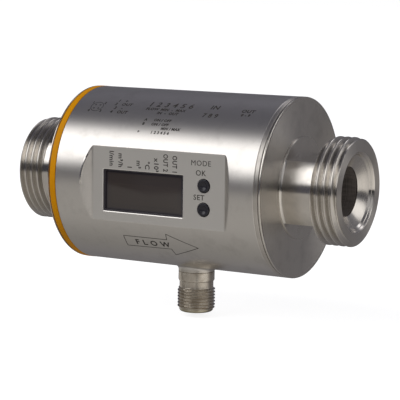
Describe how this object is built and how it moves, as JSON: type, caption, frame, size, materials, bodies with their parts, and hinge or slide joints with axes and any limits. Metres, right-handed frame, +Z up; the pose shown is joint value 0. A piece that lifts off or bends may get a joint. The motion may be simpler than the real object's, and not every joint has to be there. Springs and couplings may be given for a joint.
{
  "type": "electromagnetic flow meter",
  "caption": "Compact inline electromagnetic flow meter: cylindrical stainless housing with display window and push buttons, threaded pipe ends and a round plug connector underneath.",
  "frame": {"origin": "middle of the flow bore, half way along its length", "axes": "+X along the flow bore in the direction of flow (inlet to outlet), -Y out of the display face, +Z up; the connector points down (-Z)"},
  "size_m": [0.113, 0.0559, 0.0702],
  "materials": {
    "housing_steel": "fine matt brushed stainless steel",
    "turned_steel": "turned bright stainless steel",
    "marker_amber": "satin amber plastic",
    "liner_plastic": "dark brown-black satin",
    "seal_rubber": "matt black",
    "electrode_steel": "bright stainless steel",
    "core_iron": "dark coated soft iron",
    "bobbin_plastic": "black moulded",
    "copper_wire": "enamelled copper wire",
    "board_green": "green solder resist",
    "chip_black": "black moulding compound",
    "spacer_brass": "turned brass",
    "capacitor_can": "satin can",
    "led_clear": "clear lens",
    "smoked_glass": "smoked glossy window",
    "button_black": "glossy black",
    "connector_nickel": "nickel plated, slightly brown",
    "insert_black": "black moulded",
    "pin_gold": "gold plated",
    "flex_amber": "amber film",
    "lead_insulation": "wire insulation"
  },
  "bodies": {
    "meter": {"amplifier_chip": "chip_black", "board_header": "bobbin_plastic", "board_screws": "electrode_steel", "board_standoffs": "spacer_brass", "coil_leads": "lead_insulation", "connector_board": "board_green", "connector_flex": "flex_amber", "connector_insert": "insert_black", "connector_seal": "seal_rubber", "connector_shell": "connector_nickel", "contact_pins": "pin_gold", "display_board": "board_green", "display_carrier": "bobbin_plastic", "display_module": "chip_black", "display_window": "smoked_glass", "electrode_leads": "lead_insulation", "front_electrode": "electrode_steel", "front_electrode_seal": "seal_rubber", "housing": "housing_steel", "indicator_leds": "led_clear", "inlet_fitting": "turned_steel", "inlet_housing_seal": "seal_rubber", "inlet_tube_seal": "seal_rubber", "left_board_bracket": "bobbin_plastic", "lower_coil_bobbin": "bobbin_plastic", "lower_coil_winding": "copper_wire", "lower_pole_piece": "core_iron", "magnetic_yoke": "core_iron", "main_board": "board_green", "marker_ring": "marker_amber", "measuring_tube": "liner_plastic", "mode_button_seal": "seal_rubber", "mode_switch": "chip_black", "outlet_fitting": "turned_steel", "outlet_housing_seal": "seal_rubber", "outlet_tube_seal": "seal_rubber", "processor_chip": "chip_black", "rear_electrode": "electrode_steel", "rear_electrode_seal": "seal_rubber", "right_board_bracket": "bobbin_plastic", "set_button_seal": "seal_rubber", "set_switch": "chip_black", "storage_capacitors": "capacitor_can", "temperature_lead": "lead_insulation", "temperature_sensor": "electrode_steel", "upper_coil_bobbin": "bobbin_plastic", "upper_coil_winding": "copper_wire", "upper_pole_piece": "core_iron", "window_gasket": "seal_rubber"},
    "mode_push": {"mode_button": "button_black", "mode_switch_plunger": "button_black"},
    "set_push": {"set_button": "button_black", "set_switch_plunger": "button_black"}
  },
  "joints": [
    {"name": "mode_press", "type": "slide", "parent": "meter", "child": "mode_push", "axis": [0, 1, 0], "range_m": [0, 0.0005], "stiffness_N_per_m": 1600},
    {"name": "set_press", "type": "slide", "parent": "meter", "child": "set_push", "axis": [0, 1, 0], "range_m": [0, 0.0005], "stiffness_N_per_m": 1600}
  ]
}
